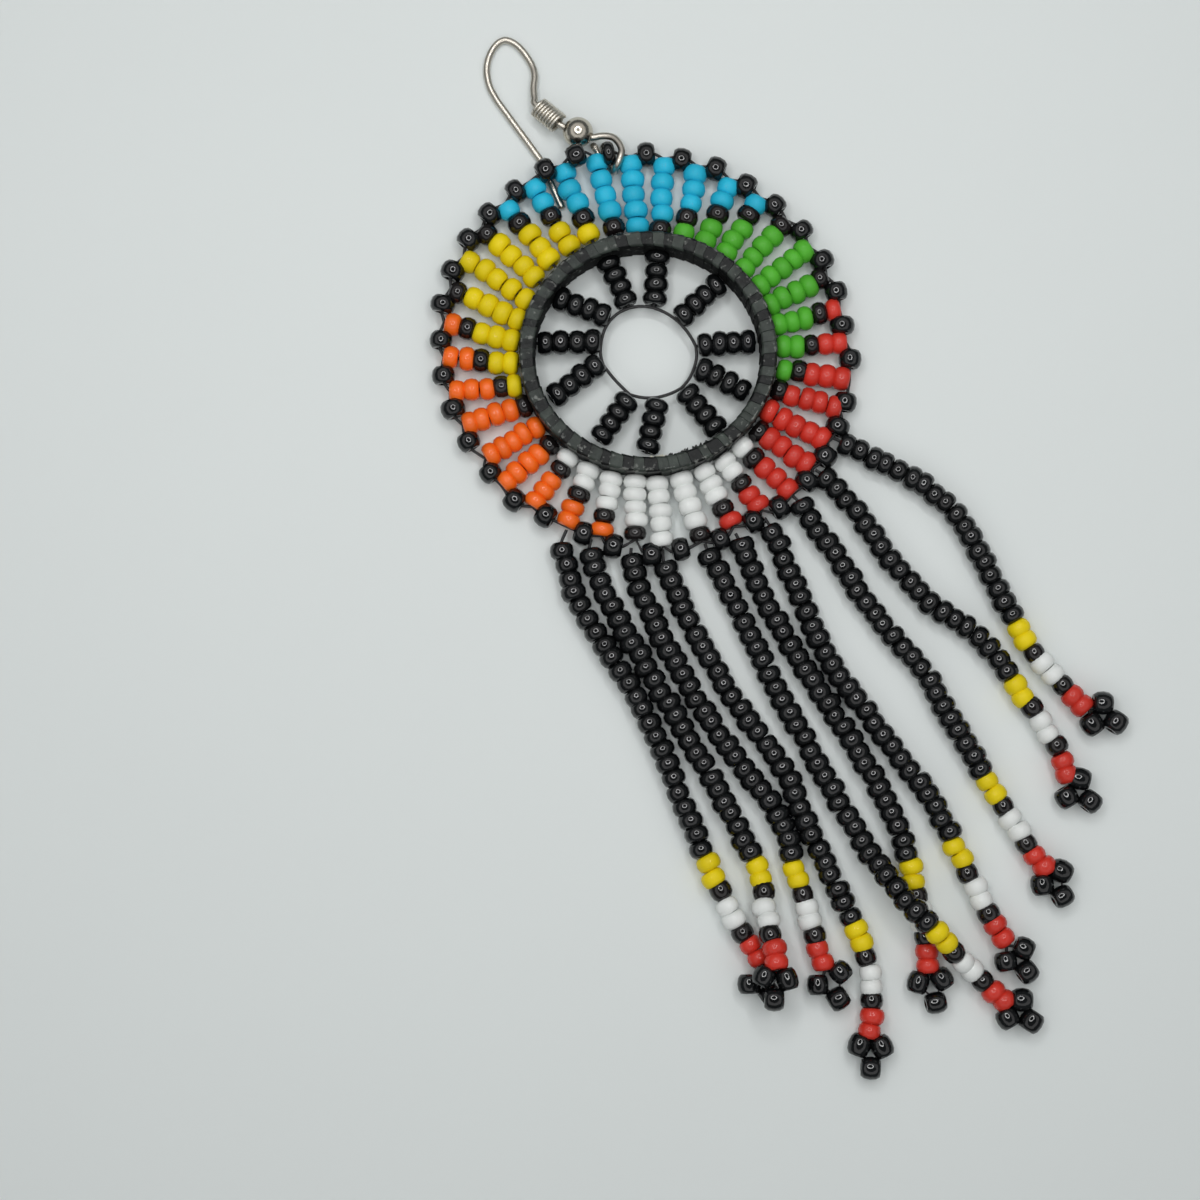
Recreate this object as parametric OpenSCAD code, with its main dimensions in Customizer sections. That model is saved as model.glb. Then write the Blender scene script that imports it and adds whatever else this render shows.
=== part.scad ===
// Beaded hoop earring with a fringe, lying flat on a table. Millimetres, +Z up,
// +Y from the fringe towards the ear wire.

/* [Beads] */
// Diameter of a seed bead
bead_d = 2.45; // [2.25:0.05:2.45]
// Length of a seed bead along its hole
bead_l = 1.6; // [1.4:0.05:1.7]
// Columns of beads round the hoop
columns = 36; // [30:1:36]
// Height of the thread runs that join the beads
thread_h = 0.9; // [0.6:0.1:1]
// Width of a single run of thread
thread_w = 0.5; // [0.4:0.05:0.6]

/* [Hoop] */
// Outer width of the hoop, across the earring
hoop_w = 27.8; // [27.2:0.1:28]
// Outer height of the hoop, along the earring
hoop_l = 26.4; // [26:0.1:26.6]
// Thickness of the hoop from its inner to its outer side
hoop_wall = 1.8; // [1.6:0.1:2]
// Depth of the hoop, from the table up
hoop_depth = 4.2; // [3.4:0.1:4.4]
// Turns of flat tape round the hoop
tape_turns = 68; // [40:1:72]
// Step from one turn of tape down to the next
tape_step = 0.12; // [0.05:0.01:0.15]

/* [Bead band] */
// Distance from the band's centre to the end of a column
column_end_r = 21.6; // [21.3:0.1:21.8]
// Distance from the band's centre to the beads of the rim
rim_r = 21.95; // [21.8:0.05:22]
// How far the band is pulled longer on one diagonal and shorter on the other
band_pull = 0.6; // [0:0.1:0.6]
// Direction of the long diagonal, in degrees
band_pull_angle = -36; // [-45:1:-30]
// How far the columns lean sideways at their tips, in degrees
band_lean = 1.6; // [0:0.1:1.8]
// Length of a rim bead as a share of the others
rim_share = 1.15; // [1:0.05:1.2]

/* [Spokes] */
// Height of the spokes' middle above the table
spoke_h = 1.6; // [1.4:0.1:2.4]
// Radius of the thread circle round the open centre
centre_r = 5.1; // [4.8:0.1:5.2]

/* [Ear wire] */
// Diameter of the ear wire
wire_d = 0.75; // [0.6:0.05:0.75]
// Diameter of the metal ball
ball_d = 3.3; // [2.9:0.1:3.3]
// Outer diameter of the wire coil
coil_d = 2.4; // [2.2:0.1:2.4]
// Diameter of the coil's thin wire
coil_wire_d = 0.36; // [0.3:0.02:0.36]
// Turns in the coil
coil_turns = 8; // [5:1:8]

/* [Fringe] */
// Width of the three-bead tip of a strand
tip_w = 4.6; // [4:0.1:4.8]
// Length of the three-bead tip of a strand
tip_l = 4.5; // [3.8:0.1:4.6]

/* [Hidden] */

up = [0, 0, 1];
bead_r = bead_d / 2;
sides = 8;
// Corner radius of an eight-sided section whose flats are a bead's diameter apart
corner_r = bead_r / cos(180 / sides);
fit_gap = 0.12;

// The middle of the earring's footprint, from the drawing's own zero
middle = [0.03, 0.11, 0];

// The hoop's middle, and the band's middle a little off it
hoop_at = [-13.65, 20.4];
band_at = hoop_at + [-0.3, 0.7];
first_column = 94;
fringe_angle = -86;
pitch = 360 / columns;

// Rim beads that rest on the ear wire, by their place: [place, lift]
lifted_rim = [[33, 0.8], [34, 1.4], [35, 0.7]];
eye_rim_bead = 35;

// Spokes: [direction at the hoop, direction at the centre, radius of the last bead]
spokes = [
    [84, 83, 6.1], [46, 48.5, 6.0], [7.5, 11, 6.3], [-20.5, -15, 6.2], [-47, -44.5, 6.1], [-90, -80, 5.8],
    [-119.5, -114, 5.8], [-156.5, -167.5, 5.9], [173, 166, 6.2], [146.5, 137.5, 6.6], [112.5, 111, 6.5]
];

// Ear wire, from the free end of its eye to the point of its tail: [x, y, z]
eye_route = [
    [-19.55, 44.05, 0.8], [-18.95, 43.2, 0.45], [-18.2, 42.2, 0.38], [-17.55, 41.35, 0.45],
    [-17.15, 41.05, 1.0], [-17.1, 41.0, 1.9], [-16.9, 41.35, 2.55], [-16.6, 42.1, 2.75],
    [-16.45, 42.95, 2.6], [-16.8, 43.85, 2.35], [-17.5, 44.55, 2.05], [-18.6, 44.75, 1.8], [-19.8, 44.65, 1.62]
];
ball_at = [-21.2, 45.2, 1.66];
coil_from = [-23.2, 46.05, 1.75];
coil_to = [-25.75, 48.35, 1.25];
bow_route = [
    [-26.0, 49.3, 1.0], [-26.1, 50.6, 0.8], [-26.0, 52.0, 0.6], [-26.3, 53.2, 0.42],
    [-27.0, 54.4, 0.38], [-27.8, 55.35, 0.38], [-28.7, 55.95, 0.38], [-29.5, 56.05, 0.38],
    [-30.3, 55.5, 0.38], [-30.9, 54.5, 0.38], [-31.25, 53.3, 0.38], [-31.25, 52.1, 0.38],
    [-30.95, 50.8, 0.38], [-30.4, 49.7, 0.38], [-29.7, 48.6, 0.38]
];
tail_bend = [-25.4, 42.6, 0.38];
tail_end = [-22.9, 37.0, 0.38];

// Strands from the rim to the last bead, then the middle of the tip: [x, y] or [x, y, height]
strand_routes = [
    [[7.2, 11], [12, 8.5], [17, 5.5], [20.5, 1.5], [24, -5.5], [28, -12.5], [32.5, -17.5], [34.5, -18.5]],
    [[5, 7.5], [9, 3], [12, -1.5], [16.5, -6.5], [22, -10.5], [25.7, -15.7], [29, -20.6], [30.7, -24.7],
     [31.7, -26.5]],
    [[2.5, 4.5], [6.5, -1.5], [10, -7], [16, -14.5], [20, -21.5], [24, -28.5], [28, -34.5], [29, -36]],
    [[-0.6, 1.9], [2.5, -5.5], [5, -11.5], [10.5, -19.5], [16, -27], [19.5, -34], [23.5, -42], [25, -44]],
    [[-4, 0.5], [-1, -6.5], [3, -13.5], [8, -21.5], [12, -28.5], [14.5, -37], [15.6, -44.8], [16, -46.8]],
    [[-7.3, -0.9], [-3.5, -8.5], [0, -15.5], [4.5, -24], [9, -32, 1.65], [12.5, -37, 3.6],
     [15.5, -40.5, 4.05], [17.5, -42.5, 3.4], [20.5, -45.5, 1.65], [23.5, -48.5], [25, -49.5]],
    [[-12, -2], [-9, -9], [-5, -16], [0.5, -24], [3.5, -31], [7, -38.5], [9.5, -45], [9.5, -51.5], [9.5, -53.5]],
    [[-15.5, -1.2], [-14.5, -5], [-11.5, -11.5], [-6.5, -20], [-0.2, -28.7], [2, -35.5], [4.5, -44.5], [5.5, -46.5]],
    [[-20, -0.6], [-18, -6], [-14, -13], [-10, -20], [-6, -27], [-2, -35, 1.5], [-1.5, -38.5, 2.3],
     [-1, -41.5, 3.2], [-0.4, -44.2, 3.9], [-0.6, -46.2, 4]],
    [[-23, 0], [-21.5, -5.5], [-18, -11.5], [-14.5, -17.5], [-11.5, -24], [-8.5, -31.5], [-5.3, -38.8],
     [-2.2, -44], [-1.8, -46.4]]
];

function unit(v) = v / norm(v);
function polar(a) = [cos(a), sin(a)];
function lift(p, z) = [p.x, p.y, z];

// Outline of the hoop's ellipse, drawn inset from its outer side
function hoop_point(a, inset) =
    hoop_at + [(hoop_w / 2 - inset) * cos(a), (hoop_l / 2 - inset) * sin(a)];

// A place on the band at a distance from its middle, with the pull of the long diagonal
function band_point(a, r) = band_at + (r + band_pull * cos(2 * (a - band_pull_angle))) * polar(a);

// How far the fringe's weight and the ear wire lean a column or rim bead at this place
function lean(a) = let (b = a - fringe_angle) band_lean * (cos(2 * b) + 0.6 * cos(b) - 0.15);

// Direction along a path at point i
function along(path, i) =
    unit(path[min(i + 1, len(path) - 1)] - path[max(i - 1, 0)]);

// One ring of a tube round p, half as wide as w and half as tall as h, lying square to t
function tube_ring(p, t, w, h, n, ref) =
    let (side = unit(cross(t, ref)), over = cross(side, t))
    [for (j = [0 : n - 1]) let (a = 360 / n * (j + 0.5)) p + w * cos(a) * side + h * sin(a) * over];

// Four-point spline value between b and c
function spline(a, b, c, d, t) =
    0.5 * (2 * b + (c - a) * t + (2 * a - 5 * b + 4 * c - d) * t * t + (3 * b - a - 3 * c + d) * t * t * t);

// The path with more points between its own
function smooth_path(path, steps) = let (n = len(path)) [
    for (i = [0 : n - 2], k = [0 : steps - 1])
        spline(path[max(i - 1, 0)], path[i], path[i + 1], path[min(i + 2, n - 1)], k / steps),
    path[n - 1]
];

// Solid skin over rings that all have the same number of points
module skin(rings, closed = false) {
    n = len(rings);
    m = len(rings[0]);
    last = closed ? n - 1 : n - 2;
    walls = [
        for (i = [0 : last], j = [0 : m - 1])
            let (a = i * m + j, b = i * m + (j + 1) % m, c = ((i + 1) % n) * m + (j + 1) % m, d = ((i + 1) % n) * m + j)
            each [[a, b, c], [a, c, d]]
    ];
    caps = closed ? [] : [[for (j = [m - 1 : -1 : 0]) j], [for (j = [0 : m - 1]) (n - 1) * m + j]];
    polyhedron(points = [for (r = rings) each r], faces = concat(walls, caps), convexity = 10);
}

module tube(path, r, n, ref = up) {
    skin([for (i = [0 : len(path) - 1]) tube_ring(path[i], along(path, i), r, r, n, ref)]);
}

// Eight-sided rod between two points of the same height
module rod(from, to, z) {
    d = to - from;
    translate(lift(from, z))
        rotate([0, 90, atan2(d.y, d.x)])
            rotate([0, 0, 180 / sides])
                cylinder(h = norm(d), r = corner_r, $fn = sides);
}

// Flat ring between two outlines
module flat_ring(outer, inner, z) {
    translate([0, 0, z - thread_h / 2])
        linear_extrude(height = thread_h)
            difference() {
                polygon(outer);
                polygon(inner);
            }
}

module ear_wire() {
    bow = concat(eye_route, [ball_at, coil_from, coil_to], bow_route, [tail_bend]);
    color("silver")
        tube(concat(smooth_path(bow, 2), [tail_end]), wire_d / 2, sides);
}

module ball_bead() {
    color("silver")
        difference() {
            translate(ball_at) rotate([0, 0, 90]) sphere(d = ball_d, $fn = 48);
            channel(coil_from, eye_route[len(eye_route) - 1], wire_d / 2 + 1.5 * fit_gap);
        }
}

// Round hole through a solid, past both points
module channel(from, to, r) {
    d = to - from;
    translate(from - 0.5 * unit(d))
        rotate([0, acos(d.z / norm(d)), atan2(d.y, d.x)])
            cylinder(h = norm(d) + 1, r = r, $fn = 24);
}

module wire_coil() {
    axis = coil_to - coil_from;
    side = unit(cross(axis, up));
    over = cross(side, unit(axis));
    steps = 9;
    count = coil_turns * steps;
    r = (coil_d - coil_wire_d) / 2;
    path = [
        for (i = [0 : count]) let (a = 360 * i / steps)
            coil_from + axis * (0.06 + 0.88 * i / count) + r * (cos(a) * side + sin(a) * over)
    ];
    color("silver") tube(path, coil_wire_d / 2, 6, unit(axis));
}

// Rounded section of the taped hoop: distance in from the outer side, and height
function hoop_section(step) = let (c = 0.45, w = hoop_wall, h = hoop_depth) [
    [c, 0], [0.1 - step / 2, c], [0.1 - step / 2, h - c], [c, h - step / 3],
    [w - c, h - step / 3], [w - 0.1, h - c], [w - 0.1, c], [w - c, 0]
];

module hoop() {
    rings = [
        for (i = [0 : tape_turns - 1], edge = [0, 1])
            let (a = (i + edge * 0.92) * 360 / tape_turns)
            [for (s = hoop_section(edge * tape_step)) lift(hoop_point(a, s.x), s.y)]
    ];
    color("dimgray") skin(rings, closed = true);
}

module rim_bead(k) {
    place = first_column - (k + 0.5) * pitch;
    in_eye = k == eye_rim_bead;
    a = place + lean(place) + (in_eye ? 1.2 : 0);
    raise = [for (row = lifted_rim) if (row[0] == k) row[1]];
    length = bead_l * (in_eye ? 0.75 : rim_share);
    translate(lift(band_point(a, rim_r), bead_r + (len(raise) > 0 ? raise[0] : 0)))
        rotate([90, 0, a])
            rotate([0, 0, 180 / sides])
                cylinder(h = length, r = corner_r, center = true, $fn = sides);
}

module bead_web() {
    steps = [0 : 5 : 359];
    color("black") difference() {
        union() {
            for (k = [0 : columns - 1]) {
                a = first_column - k * pitch;
                rod(hoop_point(a, -fit_gap), band_point(a + lean(a), column_end_r), bead_r);
                rim_bead(k);
            }
            flat_ring([for (a = steps) hoop_point(a, -fit_gap - thread_h)],
                      [for (a = steps) hoop_point(a, -fit_gap)], bead_r);
            flat_ring([for (a = steps) band_point(a, rim_r + thread_h / 2)],
                      [for (a = steps) band_point(a, rim_r - thread_h / 2)], bead_r);
        }
        channel(tail_bend, tail_end, wire_d / 2 + fit_gap);
        channel(eye_route[1], eye_route[3], wire_d / 2 + fit_gap);
    }
}

module inner_web() {
    color("black") union() {
        for (s = spokes) {
            tip = hoop_at + (s[2] - bead_l / 2) * polar(s[1]);
            root = hoop_point(s[0], hoop_wall + 3 * fit_gap);
            rod(root, tip, spoke_h);
            centre_run(tip, hoop_at + centre_r * polar(s[1]));
        }
        translate(lift(hoop_at, spoke_h - thread_w / 2))
            difference() {
                cylinder(h = thread_w, r = centre_r + thread_w / 2, $fn = 48);
                translate([0, 0, -1]) cylinder(h = thread_w + 2, r = centre_r - thread_w / 2, $fn = 48);
            }
    }
}

// Run of thread from inside the last bead of a spoke to the centre circle
module centre_run(from, to) {
    d = to - from;
    inside = bead_l / 4;
    h = 0.8 * thread_w;
    translate(lift(from, spoke_h)) rotate([0, 0, atan2(d.y, d.x)])
        translate([-inside, -thread_w / 2, -h / 2]) cube([norm(d) + inside, thread_w, h]);
}

// One strand: thread-thin where it leaves the rim, and wider at its three-bead tip
module strand(k) {
    rows = strand_routes[k - 1];
    route = [for (p = rows) lift(p, is_undef(p.z) ? bead_r : p.z)];
    first_bead = route[0] + bead_l * unit(route[1] - route[0]);
    path = concat([route[0], first_bead], [for (i = [1 : len(route) - 1]) route[i]]);
    n = len(path);
    body = [
        for (i = [0 : n - 2])
            let (r = i == 0 ? thread_h / 2 : corner_r) tube_ring(path[i], along(path, i), r, r, sides, up)
    ];
    out = unit(path[n - 1] - path[n - 2]);
    wide = tip_w / 2 / cos(180 / sides);
    tip = [
        for (s = [[-0.1, wide, 1], [0.6, wide * 0.5, 0.95]])
            tube_ring(path[n - 1] + s[0] * tip_l * out, out, s[1], corner_r * s[2], sides, up)
    ];
    color("black") skin(concat(body, tip));
}

// Puts the footprint's middle at the origin
module placed() {
    translate(-middle) children();
}

placed() ear_wire();
placed() ball_bead();
placed() wire_coil();
placed() hoop();
placed() bead_web();
placed() inner_web();
for (k = [1 : len(strand_routes)])
    placed() strand(k);
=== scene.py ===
# Beaded hoop earring lying on a pale table: seed beads, threads, taped hoop and steel ear wire.
# Places are in the drawing's millimetres, and spot() turns them into scene metres.
import math
import random

import bmesh
import bpy
from mathutils import Euler, Matrix, Vector


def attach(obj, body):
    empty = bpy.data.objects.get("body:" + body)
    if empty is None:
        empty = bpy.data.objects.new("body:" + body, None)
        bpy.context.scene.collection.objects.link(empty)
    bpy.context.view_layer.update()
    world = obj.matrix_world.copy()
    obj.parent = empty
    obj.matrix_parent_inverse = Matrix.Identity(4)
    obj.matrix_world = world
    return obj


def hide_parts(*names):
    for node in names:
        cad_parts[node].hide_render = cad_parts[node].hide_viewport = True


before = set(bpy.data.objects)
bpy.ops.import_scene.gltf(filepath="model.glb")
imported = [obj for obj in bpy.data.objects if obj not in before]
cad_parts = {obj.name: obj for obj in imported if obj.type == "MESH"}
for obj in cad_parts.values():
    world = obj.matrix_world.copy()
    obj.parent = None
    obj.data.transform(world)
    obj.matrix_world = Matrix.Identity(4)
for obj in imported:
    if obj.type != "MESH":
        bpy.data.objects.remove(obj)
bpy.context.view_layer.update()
print("frame loaded with", len(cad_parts), "nodes")

mm = 0.001
middle = (0.03, 0.11)  # middle of the earring's footprint in the drawing
up = Vector((0, 0, 1))


def spot(x, y, z=0.0):
    return Vector((x - middle[0], y - middle[1], z)) * mm


def polar(angle):
    turn = math.radians(angle)
    return Vector((math.cos(turn), math.sin(turn)))


# Sums on sockets: wire + 0.2 adds the Math node and its links
class Wire:
    def __init__(self, tree, socket):
        self.tree = tree
        self.socket = socket

    def sum(self, operation, first, second):
        return self.tree.node("ShaderNodeMath", {"operation": operation}, {0: first, 1: second})

    def __add__(self, other):
        return self.sum("ADD", self, other)

    def __sub__(self, other):
        return self.sum("SUBTRACT", self, other)

    def __rsub__(self, other):
        return self.sum("SUBTRACT", other, self)

    def __mul__(self, other):
        return self.sum("MULTIPLY", self, other)

    __radd__ = __add__
    __rmul__ = __mul__


class Tree:
    def __init__(self, nodeTree):
        self.nodeTree = nodeTree

    # Any node: its type, its settings, the values or links of its sockets, and the output wanted
    def node(self, kind, settings=None, values=None, output=0):
        made = self.nodeTree.nodes.new(kind)
        for name, value in (settings or {}).items():
            setattr(made, name, value)
        for name, value in (values or {}).items():
            self.feed(made, name, value)
        return Wire(self, self.pick(made.outputs, output))

    def pick(self, sockets, name):
        if isinstance(name, int):
            return [s for s in sockets if s.enabled][name]
        return next(s for s in sockets if s.name == name and s.enabled)

    def feed(self, made, name, value):
        socket = self.pick(made.inputs, name)
        for item in value if isinstance(value, list) else [value]:
            if isinstance(item, Wire):
                self.nodeTree.links.new(item.socket, socket)
            else:
                socket.default_value = item

    def mix(self, factor, first, second):
        settings = {"data_type": "RGBA"}
        return self.node("ShaderNodeMix", settings, {"Factor": factor, "A": first, "B": second}, "Result")

    # Noise on the object's own coordinates, with its scale in waves a millimetre
    def noise(self, scale, detail, offset=(0, 0, 0)):
        place = self.node("ShaderNodeTexCoord", None, None, "Object")
        moved = self.node("ShaderNodeMapping", None, {"Vector": place, "Location": offset})
        values = {"Vector": moved, "Scale": scale / mm, "Detail": detail}
        return self.node("ShaderNodeTexNoise", None, values)

    def attribute(self, name):
        return self.node("ShaderNodeAttribute", {"attribute_name": name}, None, "Fac")

    def spread(self, source, low, high):
        values = {"Value": source, "From Min": low, "From Max": high}
        return self.node("ShaderNodeMapRange", {"clamp": True}, values)


def rgb(red, green, blue):
    return (red, green, blue, 1.0)


# A material whose fixed values go straight onto the shader's own sockets
def newFinish(name, fixed):
    material = bpy.data.materials.new(name)
    material.use_nodes = True
    tree = Tree(material.node_tree)
    shader = material.node_tree.nodes["Principled BSDF"]
    for socket, value in fixed.items():
        shader.inputs[socket].default_value = value
    return material, tree, shader


def addBump(tree, shader, height, depth):
    values = {"Height": height, "Distance": depth * mm, "Strength": 1.0}
    tree.feed(shader, "Normal", tree.node("ShaderNodeBump", None, values))


# Glass bead glazes: colour, gloss (roughness, index, coat), and how far one bead differs from the next
glazes = {
    "black": {"colour": (0.004, 0.0045, 0.005), "gloss": (0.04, 1.56, 0.0), "differ": 0.5},
    "brown": {"colour": (0.008, 0.006, 0.006), "gloss": (0.055, 1.54, 0.0), "differ": 0.5},
    "turquoise": {"colour": (0.020, 0.48, 0.70), "gloss": (0.5, 1.34, 0.08), "differ": 0.13},
    "green": {"colour": (0.085, 0.43, 0.030), "gloss": (0.5, 1.34, 0.08), "differ": 0.13},
    "yellow": {"colour": (0.80, 0.62, 0.003), "gloss": (0.5, 1.34, 0.08), "differ": 0.10},
    "red": {"colour": (0.62, 0.032, 0.018), "gloss": (0.42, 1.4, 0.3), "differ": 0.12},
    "orange": {"colour": (0.93, 0.145, 0.007), "gloss": (0.4, 1.4, 0.45), "differ": 0.10},
    "white": {"colour": (0.79, 0.81, 0.79), "gloss": (0.5, 1.4, 0.15), "differ": 0.05},
}
glass = {
    "coatRoughness": 0.06,
    "mottle": (1.1, 3.0),  # a noise, here and in the looks below: waves a millimetre, detail
    "beadShare": 0.7,
    "mottleShare": 0.3,
    "sheen": (2.6, 2.0),
    "sheenShare": 0.4,
    "dimples": (1.8, 3.0),
    "depth": 0.02,
}


def glazeFinish(name, look):
    rough, index, coat = look["gloss"]
    fixed = {"Coat Weight": coat, "Coat Roughness": glass["coatRoughness"], "IOR": index}
    material, tree, shader = newFinish("glaze_" + name, fixed)
    shade = tree.attribute("tone") * glass["beadShare"] + tree.noise(*glass["mottle"]) * glass["mottleShare"]
    dark = rgb(*(c * (1 - look["differ"]) for c in look["colour"]))
    light = rgb(*(c * (1 + look["differ"]) for c in look["colour"]))
    tree.feed(shader, "Base Color", tree.mix(shade, dark, light))
    sheen = tree.noise(*glass["sheen"]) * glass["sheenShare"] + (1.0 - glass["sheenShare"] / 2)
    tree.feed(shader, "Roughness", sheen * rough)
    addBump(tree, shader, tree.noise(*glass["dimples"]), glass["depth"])
    return material


# Plain mottled finishes: roughness, noise, depth of the bumps, and the two colours
mottled = {
    "waxed_thread": {
        "rough": 0.55,
        "noise": (9.0, 2.0),
        "depth": 0.03,
        "colours": [(0.006, 0.006, 0.007), (0.03, 0.03, 0.03)],
    },
    "tape_adhesive": {
        "rough": 0.6,
        "noise": (2.5, 3.0),
        "depth": 0.04,
        "colours": [(0.50, 0.47, 0.34), (0.78, 0.77, 0.66)],
    },
}


def mottledFinish(name):
    look = mottled[name]
    material, tree, shader = newFinish(name, {"Roughness": look["rough"]})
    pattern = tree.noise(*look["noise"])
    tree.feed(shader, "Base Color", tree.mix(pattern, *(rgb(*colour) for colour in look["colours"])))
    addBump(tree, shader, pattern, look["depth"])
    return material


# Plated metals: material's name, colour and roughness
metals = {
    "steel": ("nickel_wire", (0.55, 0.515, 0.45), 0.3),
    "ball": ("nickel_ball", (0.58, 0.54, 0.46), 0.2),
    "coil": ("nickel_coil", (0.72, 0.68, 0.60), 0.36),
}
plating = {
    "cloud": (0.5, 3.0),
    "dull": 0.86,
    "smudges": (3.0, 3.0),
    "smudgeShare": 0.14,
    "smoother": 0.05,
    "scratches": (5.0, 2.0),
    "depth": 0.006,
}


def metalFinish(name, colour, rough):
    material, tree, shader = newFinish(name, {"Metallic": 1.0})
    dull = rgb(*(c * plating["dull"] for c in colour))
    tree.feed(shader, "Base Color", tree.mix(tree.noise(*plating["cloud"]), dull, rgb(*colour)))
    smudges = tree.noise(*plating["smudges"]) * plating["smudgeShare"]
    tree.feed(shader, "Roughness", smudges + (rough - plating["smoother"]))
    addBump(tree, shader, tree.noise(*plating["scratches"]), plating["depth"])
    return material


# The tape's look reads three face attributes: tone of the turn (darkened on the inner wall as painted shade), wear of
# its outer corner, and the inner wall
tapeLook = {
    "index": 1.33,
    "dark": (0.001, 0.002, 0.002),
    "light": (0.053, 0.066, 0.056),
    "cloud": (0.8, 4.0),
    "cloudShare": 1.5,
    "shift": 0.98,
    "scuffs": (1.5, 3.0, (0.004, 0.002, 0)),
    "scuffRange": (0.62, 0.72),
    "scuffShare": 0.6,
    "scuffColour": (0.26, 0.27, 0.25),
    "wear": 0.16,
    "sheen": (2.2, 3.0),
    "sheenShare": 0.22,
    "rough": 0.3,
    "innerRough": 0.45,
    "weave": (3.0, 4.0),
    "depth": 0.05,
}


def tapeFinish():
    look = tapeLook
    material, tree, shader = newFinish("wound_tape", {"IOR": look["index"]})
    shade = tree.attribute("tone") + tree.noise(*look["cloud"]) * look["cloudShare"] - look["shift"]
    body = tree.mix(shade, rgb(*look["dark"]), rgb(*look["light"]))
    worn = tree.attribute("wear") * look["wear"]
    scuff = tree.spread(tree.noise(*look["scuffs"]) + worn, *look["scuffRange"])
    tree.feed(shader, "Base Color", tree.mix(scuff * look["scuffShare"], body, rgb(*look["scuffColour"])))
    sheen = tree.noise(*look["sheen"]) * look["sheenShare"]
    tree.feed(shader, "Roughness", sheen + tree.attribute("inner") * look["innerRough"] + look["rough"])
    addBump(tree, shader, tree.noise(*look["weave"]), look["depth"])
    return material


finishes = {name: glazeFinish(name, look) for name, look in glazes.items()}
finishes["thread"] = mottledFinish("waxed_thread")
finishes.update({name: metalFinish(*look) for name, look in metals.items()})
finishes["tape"] = tapeFinish()
finishes["adhesive"] = mottledFinish("tape_adhesive")
print("finishes ready:", len(finishes))


# Turns a closed outline of (radius, height) round the Z axis
def latheObject(name, outline, segments):
    mesh = bpy.data.meshes.new(name)
    rows = len(outline)
    points = []
    for j in range(segments):
        turn = polar(360 * j / segments)
        points += [(turn.x * r, turn.y * r, z) for r, z in outline]
    faces = []
    for j in range(segments):
        here, there = j * rows, (j + 1) % segments * rows
        for i in range(rows):
            after = (i + 1) % rows
            faces.append((here + i, there + i, there + after, here + after))
    mesh.from_pydata(points, [], faces)
    pointOutwards(mesh)
    return bpy.data.objects.new(name, mesh)


def pointOutwards(mesh):
    shape = bmesh.new()
    shape.from_mesh(mesh)
    bmesh.ops.recalc_face_normals(shape, faces=shape.faces)
    shape.to_mesh(mesh)
    shape.free()
    mesh.shade_smooth()


# One seed bead, a unit wide and a unit long: (radius, height)
seedBead = {
    "outline": [(0.2, 0.5), (0.36, 0.48), (0.46, 0.3), (0.5, 0), (0.46, -0.3), (0.36, -0.48), (0.2, -0.5)],
    "segments": 12,
    "width": 2.56,
    "length": 1.68,
    "spread": 0.06,  # share by which one bead's size differs from the next
    "swayRange": ((-1.0, -1.0, 0.0), (1.0, 1.0, 0.3)),  # shares of a piece's sway and tilt
    "tiltRange": ((-1.0, -1.0, -0.6), (1.0, 1.0, 0.6)),
    "thread": 0.35,
    "threadSides": 6,
}
beadObject = latheObject("seedBead", seedBead["outline"], seedBead["segments"])


class GeometryTree(Tree):
    def __init__(self, name, inputs):
        group = bpy.data.node_groups.new(name, "GeometryNodeTree")
        super().__init__(group)
        group.interface.new_socket("Geometry", in_out="OUTPUT", socket_type="NodeSocketGeometry")
        group.interface.new_socket("Geometry", in_out="INPUT", socket_type="NodeSocketGeometry")
        self.keys = {}
        for label, kind in inputs.items():
            socket = group.interface.new_socket(label, in_out="INPUT", socket_type="NodeSocket" + kind)
            self.keys[label] = socket.identifier
        self.entry = group.nodes.new("NodeGroupInput")
        self.exit = group.nodes.new("NodeGroupOutput")

    def given(self, label):
        return Wire(self, self.entry.outputs[label])

    def close(self, geometry):
        self.nodeTree.links.new(geometry.socket, self.exit.inputs[0])

    def chance(self, low, high, seed):
        kind = "FLOAT_VECTOR" if isinstance(low, tuple) else "FLOAT"
        return self.node("FunctionNodeRandomValue", {"data_type": kind}, {"Min": low, "Max": high, "Seed": seed})

    def named(self, name, kind):
        return self.node("GeometryNodeInputNamedAttribute", {"data_type": kind}, {"Name": name})

    def paint(self, geometry, material, selection=True):
        values = {"Geometry": geometry, "Selection": selection, "Material": material}
        return self.node("GeometryNodeSetMaterial", None, values)

    # Puts the finished group on an object, turns the result into a plain mesh and drops the group
    def run(self, source, name, settings):
        bpy.context.scene.collection.objects.link(source)
        modifier = source.modifiers.new(self.nodeTree.name, "NODES")
        modifier.node_group = self.nodeTree
        for label, value in settings.items():
            modifier[self.keys[label]] = value
        bpy.context.view_layer.update()
        ready = source.evaluated_get(bpy.context.evaluated_depsgraph_get())
        mesh = bpy.data.meshes.new_from_object(ready)
        mesh.name = name
        source.modifiers.remove(modifier)
        bpy.data.objects.remove(source)
        piece = bpy.data.objects.new(name, mesh)
        bpy.context.scene.collection.objects.link(piece)
        return piece


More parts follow.
